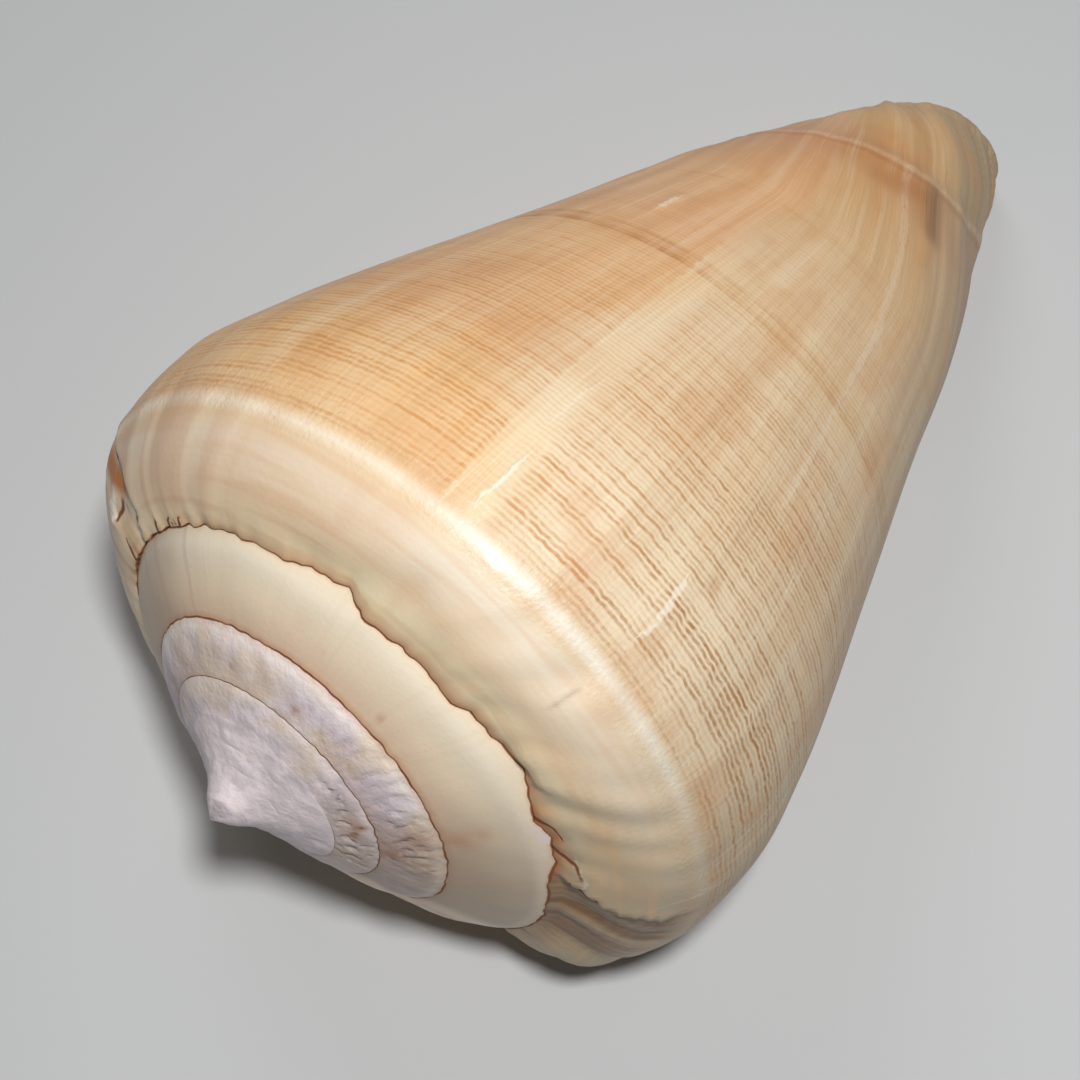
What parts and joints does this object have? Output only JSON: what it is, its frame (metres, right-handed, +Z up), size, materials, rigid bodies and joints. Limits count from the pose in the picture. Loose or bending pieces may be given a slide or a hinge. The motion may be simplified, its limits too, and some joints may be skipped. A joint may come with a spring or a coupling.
{
  "type": "oak cone seashell",
  "caption": "Cone seashell coiled to the right, with a low spire, a rounded shoulder, a long slit mouth and fine brown spiral lines, lying on its mouth side.",
  "frame": {"origin": "centre of the shell's box on the surface that it lies on", "axes": "+Y from the spire towards the anterior tip, which dips; +Z up; the mouth faces down, with the lip on the +X side of it"},
  "size_m": [0.0506, 0.0812, 0.0457],
  "materials": {
    "shell": "glossy natural shell, cream to ochre with fine brown spiral lines, a bare worn spire and a pale mouth"
  },
  "bodies": {
    "root": {"shell": "shell"}
  },
  "joints": []
}
